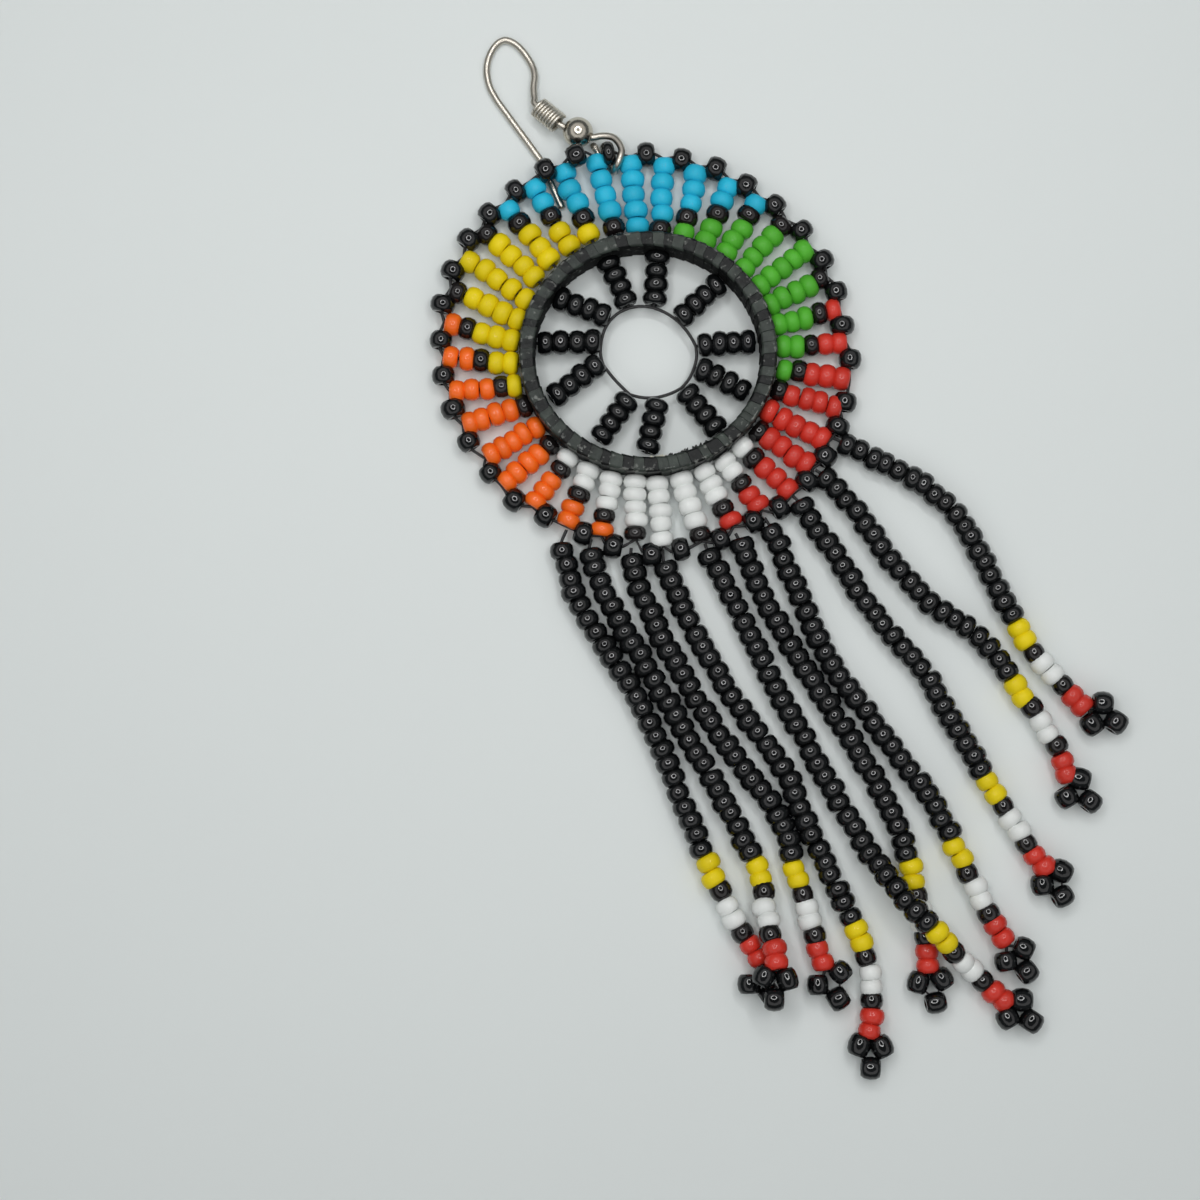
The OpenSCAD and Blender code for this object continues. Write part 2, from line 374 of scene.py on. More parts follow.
# Beads on their threads. Points that hold a bead carry its hole's direction, glaze, and shares of length and width
def beadTree():
    sizes = ["Bead Width", "Bead Length", "Size Spread", "Tilt", "Sway", "Thread Width"]
    inputs = {"Bead": "Object", **{s: "Float" for s in sizes}, "Seed": "Int", "Thread": "Material"}
    inputs.update({name: "Material" for name in glazes})
    tree = GeometryTree("beadsOnThread", inputs)
    seed = tree.given("Seed")
    source = tree.given("Geometry")
    isBead = tree.named("isBead", "BOOLEAN")
    vector = "ShaderNodeVectorMath"
    scaled = {"operation": "SCALE"}
    sway = tree.chance(*seedBead["swayRange"], seed)
    sway = tree.node(vector, scaled, {"Vector": sway, "Scale": tree.given("Sway")})
    swayed = tree.node("GeometryNodeSetPosition", None, {"Geometry": source, "Selection": isBead, "Offset": sway})
    wobble = tree.chance(*seedBead["tiltRange"], seed + 1)
    wobble = tree.node(vector, scaled, {"Vector": wobble, "Scale": tree.given("Tilt")})
    hole = tree.node(vector, {"operation": "ADD"}, {0: tree.named("hole", "FLOAT_VECTOR"), 1: wobble})
    facing = tree.node("FunctionNodeAlignRotationToVector", {"axis": "Z"}, {"Vector": hole})
    spin = tree.node("ShaderNodeCombineXYZ", None, {"Z": tree.chance(0.0, math.tau, seed + 2)})
    spin = tree.node("FunctionNodeEulerToRotation", None, {0: spin})
    facing = tree.node("FunctionNodeRotateRotation", {"rotation_space": "LOCAL"}, {0: facing, 1: spin})
    spread = tree.given("Size Spread")
    width = tree.given("Bead Width") * (tree.chance(-1.0, 1.0, seed + 3) * spread + 1.0)
    length = tree.given("Bead Length") * (tree.chance(-1.0, 1.0, seed + 4) * spread + 1.0)
    length = length * tree.named("squeeze", "FLOAT")
    width = width * tree.named("girth", "FLOAT")
    size = tree.node("ShaderNodeCombineXYZ", None, {"X": width, "Y": width, "Z": length})
    bead = tree.node("GeometryNodeObjectInfo", None, {"Object": tree.given("Bead")}, "Geometry")
    values = {"Points": swayed, "Selection": isBead, "Instance": bead, "Rotation": facing, "Scale": size}
    beads = tree.node("GeometryNodeInstanceOnPoints", None, values)
    values = {"Geometry": beads, "Name": "tone", "Value": tree.chance(0.0, 1.0, seed + 5)}
    beads = tree.node("GeometryNodeStoreNamedAttribute", {"data_type": "FLOAT", "domain": "INSTANCE"}, values)
    plain = tree.node("GeometryNodeRemoveAttribute", None, {"Geometry": source, "Name": "glaze"})
    line = tree.node("GeometryNodeMeshToCurve", None, {0: plain})
    ring = {"Resolution": seedBead["threadSides"], "Radius": tree.given("Thread Width") * 0.5}
    ring = tree.node("GeometryNodeCurvePrimitiveCircle", None, ring)
    tube = tree.node("GeometryNodeCurveToMesh", None, {"Curve": line, "Profile Curve": ring, "Fill Caps": True})
    joined = tree.node("GeometryNodeJoinGeometry", None, {"Geometry": [beads, tube]})
    result = tree.node("GeometryNodeRealizeInstances", None, {"Geometry": joined})
    result = tree.node("GeometryNodeSetShadeSmooth", None, {0: result, "Shade Smooth": True})
    result = tree.paint(result, tree.given("Thread"))
    for number, name in enumerate(glazes, 1):
        values = {"A": tree.named("glaze", "INT"), "B": number}
        same = tree.node("FunctionNodeCompare", {"data_type": "INT", "operation": "EQUAL"}, values)
        result = tree.paint(result, tree.given(name), same)
    tree.close(result)
    return tree


beadsOnThread = beadTree()
glazeNumber = {name: number for number, name in enumerate(glazes, 1)}


def bead(at, hole, glaze, squeeze=1.0, girth=1.0):
    return {"at": at, "hole": hole.normalized(), "glaze": glazeNumber[glaze], "squeeze": squeeze, "girth": girth}


# Removes the attributes that only the tree needed
def dropAttributes(piece, labels):
    for label in labels:
        used = piece.data.attributes.get(label)
        if used:
            piece.data.attributes.remove(used)


# Makes one piece from a list of beads and a list of thread lines. "loose" holds its seed, sway and tilt
def stringBeads(name, beads, threads, loose, number=0):
    points = [b["at"] for b in beads]
    edges = []
    for line in threads:
        first = len(points)
        points += line
        edges += [(first + i, first + i + 1) for i in range(len(line) - 1)]
    mesh = bpy.data.meshes.new(name + "Points")
    mesh.from_pydata(points, edges, [])
    rest = len(points) - len(beads)
    columns = [
        ("isBead", "BOOLEAN", "value", [True] * len(beads) + [False] * rest),
        ("glaze", "INT", "value", [b["glaze"] for b in beads] + [0] * rest),
        ("squeeze", "FLOAT", "value", [b["squeeze"] for b in beads] + [1.0] * rest),
        ("girth", "FLOAT", "value", [b["girth"] for b in beads] + [1.0] * rest),
        ("hole", "FLOAT_VECTOR", "vector", [c for b in beads for c in b["hole"]] + [0.0] * 3 * rest),
    ]
    for label, kind, field, data in columns:
        mesh.attributes.new(label, kind, "POINT").data.foreach_set(field, data)
    settings = {
        "Bead": beadObject,
        "Bead Width": seedBead["width"] * mm,
        "Bead Length": seedBead["length"] * mm,
        "Size Spread": seedBead["spread"],
        "Tilt": loose["tilt"],
        "Sway": loose["sway"] * mm,
        "Thread Width": seedBead["thread"] * mm,
        "Seed": loose["seed"] + number,
        "Thread": finishes["thread"],
        **{label: finishes[label] for label in glazes},
    }
    piece = beadsOnThread.run(bpy.data.objects.new(name + "Points", mesh), name, settings)
    dropAttributes(piece, [label for label, *_ in columns])
    print(name, len(beads), "beads,", len(piece.data.polygons), "faces")
    return piece


hoop = {"at": Vector((-13.65, 20.4)), "width": 27.8, "length": 26.4, "wall": 1.8, "depth": 4.2}
band = {
    "at": hoop["at"] + Vector((-0.3, 0.7)),
    "columns": 36,
    "beads": 5,
    "firstColumn": 94.0,
    "rootGap": 0.05,
    "columnEnd": 21.6,
    "rim": 21.95,
    "squeeze": 1.05,  # bead length as a share of its place, and the longest share of a bead's own
    "threadLead": 0.2,
    "pull": 0.6,  # how far the fringe pulls the band out of round
    "pullAngle": -36.0,
    "lean": 1.6,  # degrees by which the columns lean along the band, and the parts of that lean
    "leanAside": 0.6,
    "leanShift": 0.15,
    "fringeAngle": -86.0,
    "height": 1.36,
    "tipColours": ["turquoise", "red", "orange"],  # by the third of the band
    "rootColours": ["green", "white", "yellow"],
    "liftedRim": {33: 0.8, 34: 1.7, 35: 0.7},
    "rimLength": 1.15,
    "rimGirth": 1.04,
    "eyeRimBead": 35,
    "eyeRimLength": 0.85,
    "eyeRimTurn": 1.2,
    # Beads off their even places: degrees round, millimetres out
    "movedRim": {
        8: (0, -0.4), 10: (-2.3, 0), 13: (1, 0), 15: (1, -0.4), 17: (-1.7, 0.2), 18: (0.7, 0.5),
        20: (1, -0.4), 21: (-0.8, -0.3), 22: (0, 0.3), 34: (0, 0.2),
    },
    "movedTips": {
        10: (-1, 0.4), 12: (-0.8, 0), 14: (0.4, 0.2), 15: (0, -0.5), 16: (0.2, -0.4), 18: (-1.3, 0),
        19: (1, -0.6), 20: (1, -0.3), 21: (0.9, 0), 23: (0, 0.4), 24: (1.4, -0.2), 33: (0, 0.4), 34: (0, 0.4),
        35: (0, 0.5),
    },
    "movedRoots": {0: 0.2, 31: 0.4, 32: 0.6, 33: 0.5, 34: 0.7, 35: 0.5},  # millimetres out
    "loose": {"seed": 11, "sway": 0.11, "tilt": 0.1},
}


def hoopPoint(angle, inset):
    turn = polar(angle)
    reach = Vector((hoop["width"] / 2 - inset, hoop["length"] / 2 - inset))
    return hoop["at"] + Vector((reach.x * turn.x, reach.y * turn.y))


def bandPoint(angle, radius):
    pull = band["pull"] * math.cos(2 * math.radians(angle - band["pullAngle"]))
    return band["at"] + (radius + pull) * polar(angle)


def lean(angle):
    b = math.radians(angle - band["fringeAngle"])
    return band["lean"] * (math.cos(2 * b) + band["leanAside"] * math.cos(b) - band["leanShift"])


# Each third of the band steps from its root colour to its tip colour by one bead a column
def columnColour(column, place):
    third = band["columns"] // 3
    steps = abs((column + third / 2) % third - third / 2)
    if steps and place < steps - 1:
        return band["rootColours"][column // third]
    if steps and place == steps - 1:
        return "brown"
    return band["tipColours"][round(column / third) % 3]


def buildBand():
    height = band["height"]
    beads, threads, rim = [], [], []
    for n in range(band["columns"]):
        angle = band["firstColumn"] - n * 360 / band["columns"]
        root = hoopPoint(angle, -band["rootGap"] - band["movedRoots"].get(n, 0))
        turn, reach = band["movedTips"].get(n, (0, 0))
        tip = bandPoint(angle + lean(angle) + turn, band["columnEnd"] + reach)
        step = (tip - root) / band["beads"]
        squeeze = min(band["squeeze"], step.length / seedBead["length"] * band["squeeze"])
        for place in range(band["beads"]):
            at = root + step * (place + 0.5)
            beads.append(bead(spot(*at, height), step.to_3d(), columnColour(n, place), squeeze))
        threads.append([spot(*(root - step * band["threadLead"]), height), spot(*tip, height)])
        rimAngle = angle - 180 / band["columns"]
        inEye = n == band["eyeRimBead"]
        turn, reach = band["movedRim"].get(n, (0, 0))
        rimAngle += lean(rimAngle) + (band["eyeRimTurn"] if inEye else turn)
        lift = height + band["liftedRim"].get(n, 0)
        at = bandPoint(rimAngle, band["rim"] + reach)
        along = polar(rimAngle - 90)
        share = band["eyeRimLength"] if inEye else band["rimLength"]
        beads.append(bead(spot(*at, lift), along.to_3d(), "black", share, band["rimGirth"]))
        half = along * share * seedBead["length"] / 2
        rim += [spot(*tip, height), spot(*(at - half), lift), spot(*(at + half), lift)]
    threads.append(rim + rim[:1])
    piece = stringBeads("bead_band", beads, threads, band["loose"])
    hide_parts("bead_web")
    return piece


# Spokes, each from its first bead at the hoop to its last: direction and radius, direction and radius
spokes = {
    "rows": [
        (84, 10.8, 83, 6.3), (46, 10.7, 48.5, 6.0), (7.5, 10.9, 11, 6.3), (-20.5, 10.8, -15, 6.2),
        (-47, 10.6, -44.5, 6.1), (-90, 9.9, -80, 5.7), (-119.5, 10.0, -114, 5.7), (-156.5, 10.6, -167.5, 5.9),
        (173, 11.1, 166, 6.2), (146.5, 11.1, 137.5, 6.6), (112.5, 10.9, 111, 6.6),
    ],
    "beads": 4,
    "girth": 1.08,
    "fill": 1.03,  # bead length as a share of its place
    "longest": 1.06,  # and the longest share of a bead's own length
    "threadLead": 0.6,
    "knotStep": 1.0,
    "ringSteps": 5,
    "ringBow": 0.035,
    "height": 1.6,
    "loose": {"seed": 23, "sway": 0.06, "tilt": 0.1},
}


def buildSpokes():
    beads, threads, knots = [], [], []
    height = spokes["height"]
    for rootAngle, firstRadius, tipAngle, lastRadius in spokes["rows"]:
        first = hoop["at"] + firstRadius * polar(rootAngle)
        last = hoop["at"] + lastRadius * polar(tipAngle)
        step = (last - first) / (spokes["beads"] - 1)
        squeeze = min(spokes["longest"], step.length / seedBead["length"] * spokes["fill"])
        for place in range(spokes["beads"]):
            beads.append(bead(spot(*(first + step * place), height), step.to_3d(), "black", squeeze, spokes["girth"]))
        knot = hoop["at"] + (lastRadius - spokes["knotStep"]) * polar(tipAngle)
        lead = first - step * spokes["threadLead"]
        threads.append([spot(*p, height) for p in (lead, last, knot)])
        knots.append(knot)
    ring, steps = [], spokes["ringSteps"]
    for here, there in zip(knots, knots[1:] + knots[:1]):
        for k in range(steps):  # the run between two spokes bows a little outwards
            bow = 1 + spokes["ringBow"] * math.sin(math.pi * k / steps)
            ring.append(spot(*(hoop["at"] + (here.lerp(there, k / steps) - hoop["at"]) * bow), height))
    threads.append(ring + ring[:1])
    piece = stringBeads("spoke_beads", beads, threads, spokes["loose"])
    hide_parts("inner_web")
    return piece


bandPiece = buildBand()
spokePiece = buildSpokes()

# Strands from the rim to the last bead, then the middle of the tip: [x, y] or [x, y, height]
strandRoutes = [
    [[7.2, 11], [12, 8.5], [17, 5.5], [20.5, 1.5], [24, -5.5], [28, -12.5], [32.5, -17.5], [34.5, -18.5]],
    [[5, 7.5], [9, 3], [12, -1.5], [16.5, -6.5], [22, -10.5], [25.7, -15.7], [29, -20.6], [30.7, -24.7],
     [31.7, -26.5]],
    [[2.5, 4.5], [6.5, -1.5], [10, -7], [16, -14.5], [20, -21.5], [24, -28.5], [28, -34.5], [29, -36]],
    [[-0.6, 1.9], [2.5, -5.5], [5, -11.5], [10.5, -19.5], [16, -27], [19.5, -34], [23.5, -42], [25, -44]],
    [[-4, 0.5], [-1, -6.5], [3, -13.5], [8, -21.5], [12, -28.5], [14.5, -37], [15.6, -44.8], [16, -46.8]],
    [[-7.3, -0.9], [-3.5, -8.5], [0, -15.5], [4.5, -24], [9, -32, 1.65], [12.5, -37, 3.6],
     [15.5, -40.5, 4.05], [17.5, -42.5, 3.4], [20.5, -45.5, 1.65], [23.5, -48.5], [25, -49.5]],
    [[-12, -2], [-9, -9], [-5, -16], [0.5, -24], [3.5, -31], [7, -38.5], [9.5, -45], [9.5, -51.5], [9.5, -53.5]],
    [[-15.5, -1.2], [-14.5, -5], [-11.5, -11.5], [-6.5, -20], [-0.2, -28.7], [2, -35.5], [4.5, -44.5],
     [5.5, -46.5]],
    [[-20, -0.6], [-18, -6], [-14, -13], [-10, -20], [-6, -27], [-2, -35, 1.5], [-1.5, -38.5, 2.3],
     [-1, -41.5, 3.2], [-0.4, -44.2, 3.9], [-0.6, -46.2, 4]],
    [[-23, 0], [-21.5, -5.5], [-18, -11.5], [-14.5, -17.5], [-11.5, -24], [-8.5, -31.5], [-5.3, -38.8],
     [-2.2, -44], [-1.8, -46.4]],
]
fringe = {
    "blackBeads": [18, 19, 23, 25, 26, 30, 28, 25, 25, 23],
    "end": ["yellow", "yellow", "brown", "white", "white", "brown", "red", "red"],
    "lead": 0.8,  # thread before the first bead's middle
    "knot": 0.8,  # thread from the last bead's middle to the tip's knot
    "girth": {"black": 1.06, "brown": 0.94},
    "share": {"brown": 1.1},
    "tipSide": 1.25,
    "tipBack": 0.45,
    "tipFront": 1.75,
    "tipLean": 0.45,
    "tipShape": (1.28, 0.96),  # shares of a bead's length and width
    "tipTurn": {1: 22, 9: 24},  # degrees, by the strand's place in the list
    "lineSteps": 12,
    "threadEvery": 3,  # the thread takes one in so many of the line's points
    "loose": {"seed": 40, "sway": 0.13, "tilt": 0.15},
}


# Smooth line through the points, with its points close together
def smoothLine(points, steps):
    line = []
    last = len(points) - 1
    for i in range(last):
        a, b, c, d = points[max(i - 1, 0)], points[i], points[i + 1], points[min(i + 2, last)]
        for k in range(steps):
            t = k / steps
            line.append(
                0.5 * (2 * b + (c - a) * t + (2 * a - 5 * b + 4 * c - d) * t**2 + (3 * b - a - 3 * c + d) * t**3)
            )
    return line + [points[last]]


# Evenly spaced places along a line, each with the line's direction there, and the step between them
def evenPlaces(line, start, count):
    lengths = [0.0]
    for a, b in zip(line, line[1:]):
        lengths.append(lengths[-1] + (b - a).length)
    span, gaps = lengths[-1] - start, count - 1
    places = []
    for k in range(count):
        wanted = start + span * k / gaps
        i = next((i for i in range(1, len(line) - 1) if lengths[i] >= wanted), len(line) - 1)
        share = (wanted - lengths[i - 1]) / (lengths[i] - lengths[i - 1])
        places.append((line[i - 1].lerp(line[i], share), (line[i] - line[i - 1]).normalized()))
    return places, span / gaps


def buildStrand(number):
    rest = band["height"]
    route = [Vector((*row, rest)[:3]) if len(row) == 2 else Vector(row) for row in strandRoutes[number]]
    route, tip = route[:-1], route[-1]
    line = [Vector((p.x, p.y, max(p.z, rest))) for p in smoothLine(route, fringe["lineSteps"])]
    colours = ["black"] * fringe["blackBeads"][number] + fringe["end"]
    places, pitch = evenPlaces(line, fringe["lead"], len(colours))
    beads = []
    for (at, way), colour in zip(places, colours):
        share, girth = fringe["share"].get(colour, 1.0), fringe["girth"].get(colour, 1.0)
        beads.append(bead(spot(*at), way, colour, share, girth))
    out = (tip - route[-1]).normalized()
    end = route[-1] + out * fringe["knot"]
    out.rotate(Euler((0, 0, math.radians(fringe["tipTurn"].get(number, 0)))))
    side = out.cross(up).normalized()
    back, aside, slant = out * fringe["tipBack"], side * fringe["tipSide"], side * fringe["tipLean"]
    tipBeads = [  # middle and hole
        (tip - back - aside, (out - slant).normalized()),
        (tip + out * fringe["tipFront"], side),
        (tip - back + aside, (-out - slant).normalized()),
    ]
    for at, hole in tipBeads:
        beads.append(bead(spot(*at), hole, "black", *fringe["tipShape"]))
    loop = [end] + [at for at, _ in tipBeads] + [end]
    start = bandPoint(math.degrees(math.atan2(*(route[0].xy - band["at"]).yx)), band["rim"])
    thread = [spot(*start, rest)] + [spot(*p) for p in line[:: fringe["threadEvery"]]] + [spot(*end)]
    name = f"strand_beads_{number + 1}"
    piece = stringBeads(name, beads, [thread, [spot(*p) for p in loop]], fringe["loose"], number)
    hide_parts(f"strand_{number + 1}")
    print("  pitch", round(pitch, 2))
    return piece


strandPieces = [buildStrand(number) for number in range(len(strandRoutes))]

# Flat tape wound round the hoop in turns that overlap like a screw's thread
tape = {
    "turns": 68,
    "spread": 0.27,
    "step": 0.12,
    "proud": (0.6, 1.0),  # least and most of the step
    "rows": [(0.0, 0.0), (0.04, 1.0), (0.5, 0.6)],  # share of the turn, share of the step
    "inset": 0.12,
    "corner": 0.28,
    "cornerPoints": 6,
    "innerFaces": range(7, 13),  # by their place round the section
    "wornFaces": range(18, 23),
    "palePart": 0.9,
    "paleTone": (0.6, 1.0),
    "darkTone": (0.05, 0.35),
    # share by which the inner wall's tone is darkened: painted shade inside the hoop
    "innerPaintedShade": 0.8,
    "seed": 5,
}


# Rounded section of the bare hoop: (inset, height) and the way out of it
def hoopSection():
    c, low, high = tape["corner"], tape["inset"], hoop["wall"] - tape["inset"]
    foot, top = tape["inset"], hoop["depth"] - tape["inset"]
    corners = [(low + c, foot + c, 180), (high - c, foot + c, 270), (high - c, top - c, 0), (low + c, top - c, 90)]
    section, count = [], tape["cornerPoints"]
    for x, y, start in corners:
        for k in range(count):
            way = polar(start + 90 * k / (count - 1))
            section.append((Vector((x, y)) + c * way, way))
    return section


def buildHoop():
    chance = random.Random(tape["seed"])
    turns = tape["turns"]
    starts = [i + chance.uniform(-tape["spread"], tape["spread"]) for i in range(turns)]
    proud = [tape["step"] * chance.uniform(*tape["proud"]) for _ in range(turns)]
    section, rows = hoopSection(), tape["rows"]

    def turnAngle(x):
        i = math.floor(x)
        here = starts[i % turns] + (i // turns) * turns
        there = starts[(i + 1) % turns] + ((i + 1) // turns) * turns
        return 360 * (here + (there - here) * (x - i)) / turns

    points = []
    for i in range(turns):
        for share, rise in rows:
            for j, (place, way) in enumerate(section):
                angle = turnAngle(i + share + j / len(section))
                out = place + way * proud[i] * rise
                points.append(spot(*hoopPoint(angle, out.x), max(out.y, 0.0)))
    rings, count = turns * len(rows), len(section)

    def corner(ring, j):
        if j == count:
            ring, j = ring + len(rows), 0
        return ring % rings * count + j

    faces = [
        (corner(r, j), corner(r + 1, j), corner(r + 1, j + 1), corner(r, j + 1))
        for r in range(rings)
        for j in range(count)
    ]
    mesh = bpy.data.meshes.new("taped_hoop")
    mesh.from_pydata(points, [], faces)
    turnTones = []
    for i in range(turns):  # pale and dark turns, mostly one after the other
        pale = (i + chance.random()) % 2 > tape["palePart"]
        turnTones.append(chance.uniform(*tape["paleTone" if pale else "darkTone"]))
    inner = [1.0 if j in tape["innerFaces"] else 0.0 for _ in range(rings) for j in range(count)]
    wear = [chance.random() if j in tape["wornFaces"] else 0.0 for _ in range(rings) for j in range(count)]
    tones = [turnTones[r // len(rows)] for r in range(rings) for _ in range(count)]
    # the inner wall's tone is darkened: painted shade inside the hoop, where little light reaches
    tones = [tone * (1.0 - tape["innerPaintedShade"] * inside) for tone, inside in zip(tones, inner)]
    for label, data in (("tone", tones), ("wear", wear), ("inner", inner)):
        mesh.attributes.new(label, "FLOAT", "FACE").data.foreach_set("value", data)
    pointOutwards(mesh)
    mesh.shade_flat()
    mesh.materials.append(finishes["tape"])
    piece = bpy.data.objects.new("taped_hoop", mesh)
    bpy.context.scene.collection.objects.link(piece)
    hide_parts("hoop")
    print("taped_hoop", len(mesh.polygons), "faces")
    return piece


hoopPiece = buildHoop()

# Torn end of the tape on the hoop's inner edge
fray = {
    "from": -89.0,
    "to": -58.0,
    "teeth": 24,
    "adhesiveTeeth": 6,
    "height": 3.6,
    "sunk": (0.1, 0.5),
    "thick": 0.1,
    "droop": 0.25,
    "root": 0.35,  # how far a tooth's root, and the place its reach is counted from, lie inside the tape
    "setBack": 0.1,
    "overlap": 0.15,  # this and the next three are shares of a tooth's place
    "toothWidth": 1.35,
    "peak": (0.1, 1.1),
    "blunt": (0.25, 0.8),
    "reach": (0.06, 0.42),
    "adhesiveReach": (0.2, 0.36),
    "shoulders": (0.8, 0.7),  # how far below the tip the tooth's sides end, as shares of its reach
    "slant": 0.08,
    "tone": 0.3,
    "seed": 3,
}


def buildFray():
    chance = random.Random(fray["seed"])
    mesh = bpy.data.meshes.new("tape_fray")
    points, faces, slots = [], [], []
    width = (fray["to"] - fray["from"]) / fray["teeth"]
    base = hoop["wall"] - fray["root"]
    rightShoulder, leftShoulder = fray["shoulders"]
    for i in range(fray["teeth"]):
        left = fray["from"] + width * (i - fray["overlap"])
        right = left + width * fray["toothWidth"]
        peak = left + width * chance.uniform(*fray["peak"])
        pale = i < fray["adhesiveTeeth"]
        reach = chance.uniform(*fray["adhesiveReach" if pale else "reach"])
        tip = hoop["wall"] - fray["setBack"] + reach
        blunt = chance.uniform(*fray["blunt"]) * width
        outline = [(left, base), (right, base), (right, tip - reach * rightShoulder)]
        outline += [(peak + blunt, tip), (peak, tip - fray["slant"]), (left, tip - reach * leftShoulder)]
        low = fray["height"] - chance.uniform(*fray["sunk"])
        first = len(points)
        for z in (low, low + fray["thick"]):
            for angle, inset in outline:
                drop = fray["droop"] * max(0.0, inset - hoop["wall"])
                points.append(spot(*hoopPoint(angle, inset), z - drop))
        n = len(outline)
        faces.append(tuple(range(first + n - 1, first - 1, -1)))
        faces.append(tuple(range(first + n, first + 2 * n)))
        faces += [(first + k, first + (k + 1) % n, first + n + (k + 1) % n, first + n + k) for k in range(n)]
        slots += [1 if pale else 0] * (n + 2)
    mesh.from_pydata(points, [], faces)
    mesh.materials.append(finishes["tape"])
    mesh.materials.append(finishes["adhesive"])
    mesh.polygons.foreach_set("material_index", slots)
    mesh.attributes.new("tone", "FLOAT", "FACE").data.foreach_set("value", [fray["tone"]] * len(slots))
    pointOutwards(mesh)
    mesh.shade_flat()
    piece = bpy.data.objects.new("tape_fray", mesh)
    bpy.context.scene.collection.objects.link(piece)
    return piece


frayPiece = buildFray()

# Ear wire, from the free end of its eye to the point of its tail: x, y, height
wire = {
    "width": 0.76,
    "eye": [
        (-19.55, 44.05, 0.8), (-18.95, 43.2, 0.45), (-18.2, 42.2, 0.38), (-17.55, 41.35, 0.45),
        (-17.15, 41.05, 1.0), (-17.1, 41.0, 1.9), (-16.9, 41.35, 2.55), (-16.6, 42.1, 2.75),
        (-16.45, 42.95, 2.6), (-16.8, 43.85, 2.35), (-17.5, 44.55, 2.05), (-18.6, 44.75, 1.8), (-19.8, 44.65, 1.62),
    ],
    "ball": (-21.2, 45.2, 1.66),
    "coilFrom": (-23.2, 46.05, 1.75),
    "coilTo": (-25.75, 48.35, 1.25),
    "bow": [
        (-26.0, 49.3, 1.0), (-26.1, 50.6, 0.8), (-26.0, 52.0, 0.6), (-26.3, 53.2, 0.42),
        (-27.0, 54.4, 0.38), (-27.8, 55.35, 0.38), (-28.7, 55.95, 0.38), (-29.5, 56.05, 0.38),
        (-30.3, 55.5, 0.38), (-30.9, 54.5, 0.38), (-31.25, 53.3, 0.38), (-31.25, 52.1, 0.38),
        (-30.95, 50.8, 0.38), (-30.4, 49.7, 0.38), (-29.7, 48.6, 0.38),
    ],
    "tailBend": (-25.4, 42.6, 0.38),
    "tailEnd": (-22.9, 37.0, 0.38),
    "sides": 16,
    "steps": 6,
    "tailSteps": 4,
    "endSteps": 5,
    "endTurn": 22,
}
ball = {"width": 3.3, "bore": 1.0, "lip": 0.16, "mouth": 0.94, "rows": 22, "segments": 40}
coil = {"width": 2.42, "wireWidth": 0.37, "turns": 8, "sides": 10, "stepsPerTurn": 28, "from": 0.06, "to": 0.94}


# A round wire along the points' edges, as thick as "taper" says, with closed ends
def wireTree():
    tree = GeometryTree("wireRun", {"Wire Width": "Float", "Sides": "Int", "Finish": "Material"})
    line = tree.node("GeometryNodeMeshToCurve", None, {0: tree.given("Geometry")})
    ring = {"Resolution": tree.given("Sides"), "Radius": 1.0}
    ring = tree.node("GeometryNodeCurvePrimitiveCircle", None, ring)
    radius = tree.named("taper", "FLOAT") * tree.given("Wire Width") * 0.5
    values = {"Curve": line, "Profile Curve": ring, "Scale": radius, "Fill Caps": True}
    tube = tree.node("GeometryNodeCurveToMesh", None, values)
    tube = tree.node("GeometryNodeSetShadeSmooth", None, {0: tube, "Shade Smooth": True})
    tube = tree.node("GeometryNodeRealizeInstances", None, {"Geometry": tube})
    tree.close(tree.paint(tube, tree.given("Finish")))
    return tree


wireRun = wireTree()


def drawWire(name, line, tapers, width, sides, finish):
    mesh = bpy.data.meshes.new(name + "Line")
    mesh.from_pydata([spot(*p) for p in line], [(i, i + 1) for i in range(len(line) - 1)], [])
    mesh.attributes.new("taper", "FLOAT", "POINT").data.foreach_set("value", tapers)
    settings = {"Wire Width": width * mm, "Sides": sides, "Finish": finishes[finish]}
    piece = wireRun.run(bpy.data.objects.new(name + "Line", mesh), name, settings)
    dropAttributes(piece, ["taper"])
    print(name, len(piece.data.polygons), "faces")
    return piece


# The line with round ends: a few points within half a width of each end, each thinner than the last
def roundEnds(line, width):
    first, last = line[0], line[-1]
    outFirst = (first - line[1]).normalized() * width / 2
    outLast = (last - line[-2]).normalized() * width / 2
    turns = [math.radians(wire["endTurn"] * k) for k in range(wire["endSteps"])]
    heads = [first + outFirst * (math.sin(turn) - 1) for turn in turns]
    tails = [last + outLast * (math.sin(turn) - 1) for turn in turns]
    thin = [math.cos(turn) for turn in turns]
    middlePart = line[1:-1]
    return heads[::-1] + middlePart + tails, thin[::-1] + [1.0] * len(middlePart) + thin


def buildEarWire():
    route = [*wire["eye"], wire["ball"], wire["coilFrom"], wire["coilTo"], *wire["bow"], wire["tailBend"]]
    line = smoothLine([Vector(p) for p in route], wire["steps"])
    line = line[:-1] + smoothLine([Vector(wire["tailBend"]), Vector(wire["tailEnd"])], wire["tailSteps"])
    line, tapers = roundEnds(line, wire["width"])
    piece = drawWire("ear_hook_wire", line, tapers, wire["width"], wire["sides"], "steel")
    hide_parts("ear_wire")
    return piece


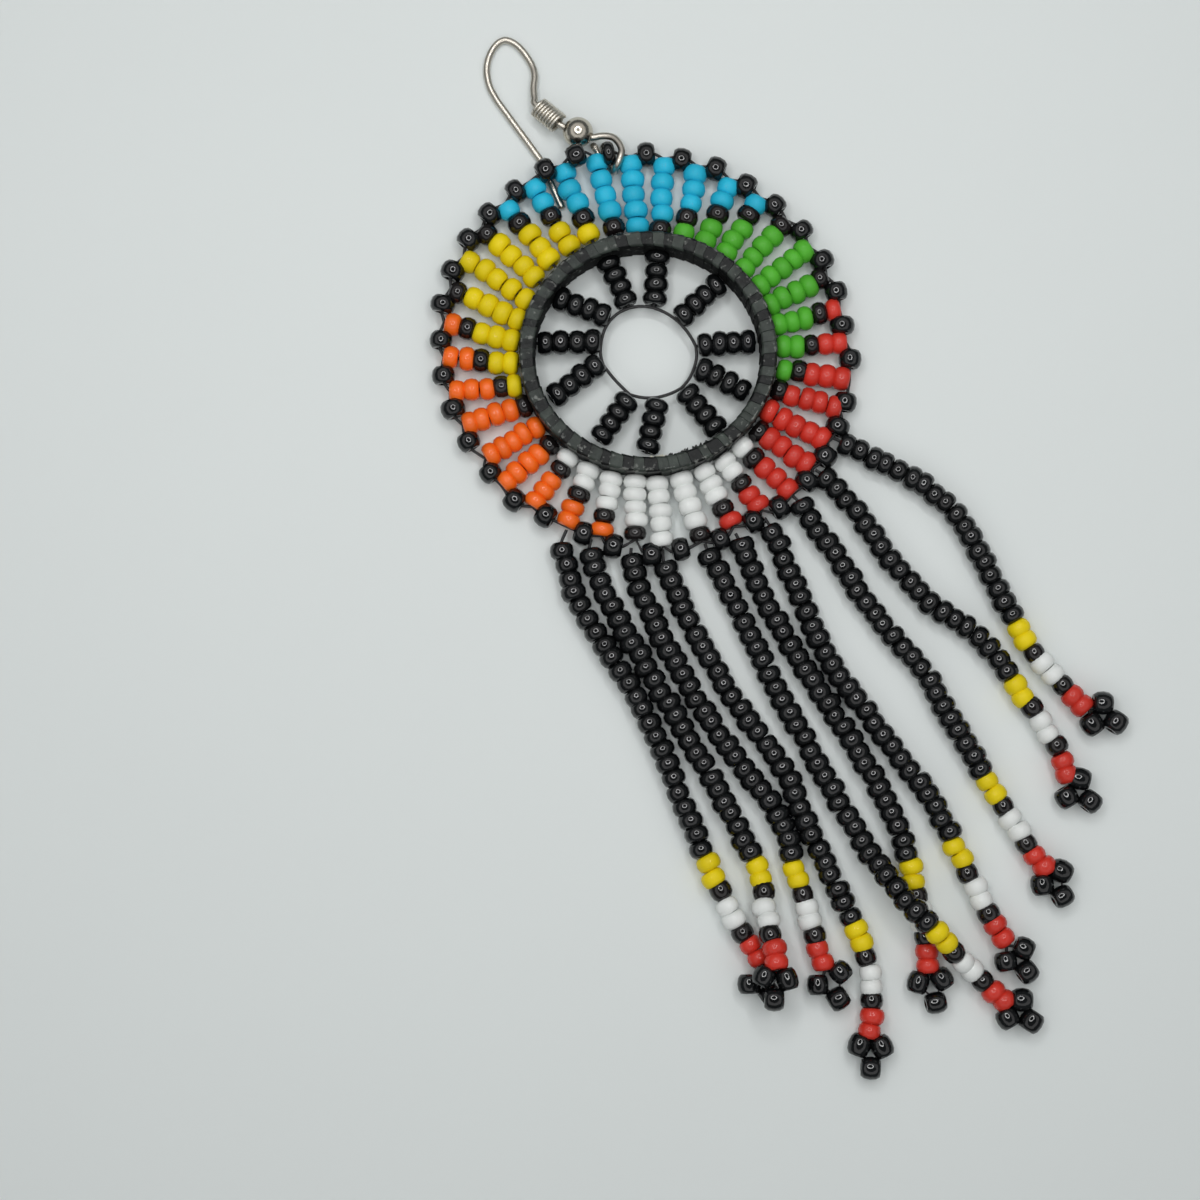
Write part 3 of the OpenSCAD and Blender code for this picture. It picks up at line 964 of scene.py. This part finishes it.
def buildBall():
    radius, bore = ball["width"] / 2, ball["bore"] / 2
    edge = math.asin(bore / radius)
    outline = []
    for k in range(ball["rows"] + 1):
        turn = edge + (math.pi - 2 * edge) * k / ball["rows"]
        outline.append((radius * math.sin(turn) * mm, radius * math.cos(turn) * mm))
    lip, mouth = radius * math.cos(edge) - ball["lip"], bore * ball["mouth"]
    outline = [(mouth * mm, lip * mm)] + outline + [(mouth * mm, -lip * mm)]
    piece = latheObject("polished_ball", outline, ball["segments"])
    way = (Vector(wire["coilFrom"]) - Vector(wire["eye"][-1])).normalized()
    turned = up.rotation_difference(way).to_matrix().to_4x4()
    piece.data.transform(turned)
    piece.data.transform(Matrix.Translation(spot(*wire["ball"])))
    piece.data.materials.append(finishes["ball"])
    bpy.context.scene.collection.objects.link(piece)
    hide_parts("ball_bead")
    return piece


def buildCoil():
    first, last = Vector(wire["coilFrom"]), Vector(wire["coilTo"])
    axis = last - first
    side = axis.cross(up).normalized()
    over = side.cross(axis.normalized())
    radius = (coil["width"] - coil["wireWidth"]) / 2
    count = coil["turns"] * coil["stepsPerTurn"]
    line = []
    for i in range(count + 1):
        turn = polar(360 * i / coil["stepsPerTurn"])
        share = coil["from"] + (coil["to"] - coil["from"]) * i / count
        line.append(first + axis * share + radius * (turn.x * side + turn.y * over))
    tapers = [1.0] * len(line)
    piece = drawWire("coiled_wire", line, tapers, coil["wireWidth"], coil["sides"], "coil")
    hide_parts("wire_coil")
    return piece


wirePieces = [buildEarWire(), buildBall(), buildCoil()]
pieces = [bandPiece, spokePiece, *strandPieces, hoopPiece, frayPiece, *wirePieces]

for piece in pieces:
    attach(piece, "root")
print("pieces placed:", len(pieces))

# Floor, light and camera
view = {"tilt": 6.0, "distance": 231.2, "lens": 64.5, "sensor": 36, "nearest": 0.01, "at": (-18.8, -6.0)}
stageSet = {
    "floorSize": 1.6,
    "floorColour": (0.76, 0.80, 0.79),
    "floorShade": 0.97,
    "floorCloud": (0.02, 3.0),
    "floorRough": 0.7,
    "lampSteps": 64,
    "lamps": [  # centre, inner and outer radius, first and last direction, strength
        ("ringLamp", (-18.8, 55.0, 240.0), (77.0, 101.0), (0, 360), 10.2),
        ("softLamp", (-18.8, 0.0, 500.0), (350.0, 850.0), (0, 360), 0.8),
        ("sideLamp", (-18.8, 0.0, 500.0), (350.0, 850.0), (-25, 165), 0.6),
    ],
    "sky": (0.80, 0.88, 0.90),
    "skyStrength": 0.13,
}


def buildFloor():
    half = stageSet["floorSize"] / 2
    mesh = bpy.data.meshes.new("floor")
    mesh.from_pydata([(-half, -half, 0), (half, -half, 0), (half, half, 0), (-half, half, 0)], [], [(0, 1, 2, 3)])
    material, tree, shader = newFinish("pale_board", {"Roughness": stageSet["floorRough"]})
    shade = rgb(*(c * stageSet["floorShade"] for c in stageSet["floorColour"]))
    cloud = tree.noise(*stageSet["floorCloud"])
    tree.feed(shader, "Base Color", tree.mix(cloud, shade, rgb(*stageSet["floorColour"])))
    mesh.materials.append(material)
    floor = bpy.data.objects.new("floor", mesh)
    bpy.context.scene.collection.objects.link(floor)
    return floor


# Flat glowing ring above the table, or a part of one, unseen by the camera itself
def buildLamp(name, at, radii, span, strength):
    x, y, z = at
    points, count = [], stageSet["lampSteps"]
    for k in range(count + 1):
        turn = polar(span[0] + (span[1] - span[0]) * k / count)
        points += [spot(x + turn.x * radius, y + turn.y * radius, z) for radius in radii]
    faces = [(2 * k, 2 * k + 2, 2 * k + 3, 2 * k + 1) for k in range(count)]
    mesh = bpy.data.meshes.new(name)
    mesh.from_pydata(points, [], faces)
    material = bpy.data.materials.new(name)
    material.use_nodes = True
    nodes = material.node_tree.nodes
    nodes.clear()
    glow = nodes.new("ShaderNodeEmission")
    glow.inputs["Strength"].default_value = strength
    closing = nodes.new("ShaderNodeOutputMaterial")
    material.node_tree.links.new(glow.outputs[0], closing.inputs["Surface"])
    mesh.materials.append(material)
    lamp = bpy.data.objects.new(name, mesh)
    lamp.visible_camera = False
    bpy.context.scene.collection.objects.link(lamp)
    return lamp


def buildCamera():
    camera = bpy.data.objects.new("camera", bpy.data.cameras.new("camera"))
    bpy.context.scene.collection.objects.link(camera)
    camera.data.sensor_width = view["sensor"]
    camera.data.lens = view["lens"]
    camera.data.clip_start = view["nearest"]
    tilt = math.radians(view["tilt"])
    reach = view["distance"] * mm
    camera.location = spot(*view["at"]) + Vector((0, -math.sin(tilt), math.cos(tilt))) * reach
    camera.rotation_euler = Euler((tilt, 0, 0))
    bpy.context.scene.camera = camera


buildFloor()
[buildLamp(*lamp) for lamp in stageSet["lamps"]]
buildCamera()
world = bpy.data.worlds.new("studio")
world.use_nodes = True
sky = world.node_tree.nodes["Background"]
sky.inputs["Color"].default_value = rgb(*stageSet["sky"])
sky.inputs["Strength"].default_value = stageSet["skyStrength"]
bpy.context.scene.world = world
bpy.context.scene.view_settings.view_transform = "Standard"
print("stage, light and camera ready")
